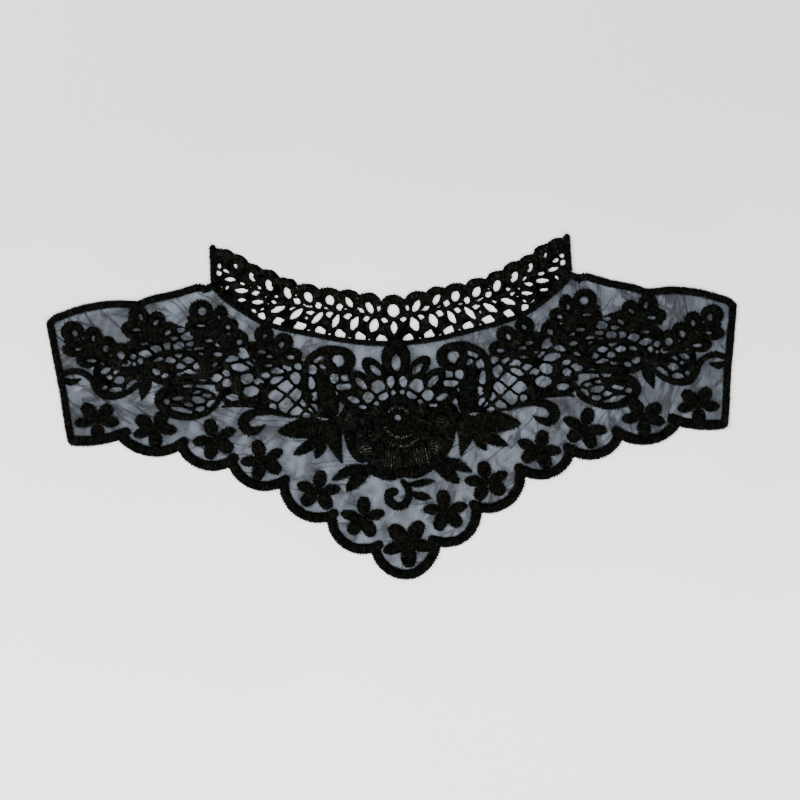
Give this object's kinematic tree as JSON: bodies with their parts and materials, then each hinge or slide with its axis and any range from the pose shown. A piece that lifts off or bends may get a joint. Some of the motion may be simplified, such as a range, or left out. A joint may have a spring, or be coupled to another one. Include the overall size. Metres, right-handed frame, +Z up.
{
  "type": "lace collar",
  "caption": "Wide flat lace collar: a black organza yoke with a scalloped, satin-stitched hem, raised flowers, leaves and scrolls, and an open lace stand round the neck.",
  "frame": {"origin": "middle of the collar's flat outline, on the surface it lies on", "axes": "+X along the width, from the wearer's right wing to the left one as the face is seen; +Y from the hem's point towards the neck; +Z up out of the embroidered face"},
  "size_m": [0.3778, 0.1854, 0.0034],
  "materials": {
    "black_satin_thread": "satin stitch in near-black rayon thread",
    "black_organza": "sheer crinkled organza"
  },
  "bodies": {
    "root": {"stand_end_bar_left": "black_satin_thread", "stand_end_bar_right": "black_satin_thread", "wing_edge_left": "black_satin_thread", "wing_edge_right": "black_satin_thread", "side_edge_left": "black_satin_thread", "side_edge_right": "black_satin_thread", "neck_seam_cord": "black_satin_thread", "hem_scallop_centre": "black_satin_thread", "hem_scallop_1_left": "black_satin_thread", "hem_scallop_2_left": "black_satin_thread", "hem_scallop_3_left": "black_satin_thread", "hem_scallop_4_left": "black_satin_thread", "hem_scallop_5_left": "black_satin_thread", "hem_scallop_6_left": "black_satin_thread", "hem_scallop_1_right": "black_satin_thread", "hem_scallop_2_right": "black_satin_thread", "hem_scallop_3_right": "black_satin_thread", "hem_scallop_4_right": "black_satin_thread", "hem_scallop_5_right": "black_satin_thread", "hem_scallop_6_right": "black_satin_thread", "organza_yoke": "black_organza", "lace_stand": "black_satin_thread", "rose_heart": "black_satin_thread", "rose_petal_left": "black_satin_thread", "rose_petal_right": "black_satin_thread", "rose_skirt": "black_satin_thread", "rose_side_leaves_left": "black_satin_thread", "rose_foot_leaves_left": "black_satin_thread", "rose_side_leaves_right": "black_satin_thread", "rose_foot_leaves_right": "black_satin_thread", "spiral_sprig": "black_satin_thread", "flower_1_left": "black_satin_thread", "flower_2_left": "black_satin_thread", "flower_3_left": "black_satin_thread", "flower_4_left": "black_satin_thread", "flower_5_left": "black_satin_thread", "flower_6_left": "black_satin_thread", "flower_1_right": "black_satin_thread", "flower_2_right": "black_satin_thread", "flower_3_right": "black_satin_thread", "flower_4_right": "black_satin_thread", "flower_5_right": "black_satin_thread", "flower_6_right": "black_satin_thread", "flower_centre": "black_satin_thread", "hook_scroll_left": "black_satin_thread", "standing_leaf_left": "black_satin_thread", "c_scroll_left": "black_satin_thread", "front_spray_lace_left": "black_satin_thread", "middle_spray_lace_left": "black_satin_thread", "outer_spray_lace_left": "black_satin_thread", "hook_scroll_right": "black_satin_thread", "standing_leaf_right": "black_satin_thread", "c_scroll_right": "black_satin_thread", "front_spray_lace_right": "black_satin_thread", "middle_spray_lace_right": "black_satin_thread", "outer_spray_lace_right": "black_satin_thread", "rose_crest": "black_satin_thread"}
  },
  "joints": []
}
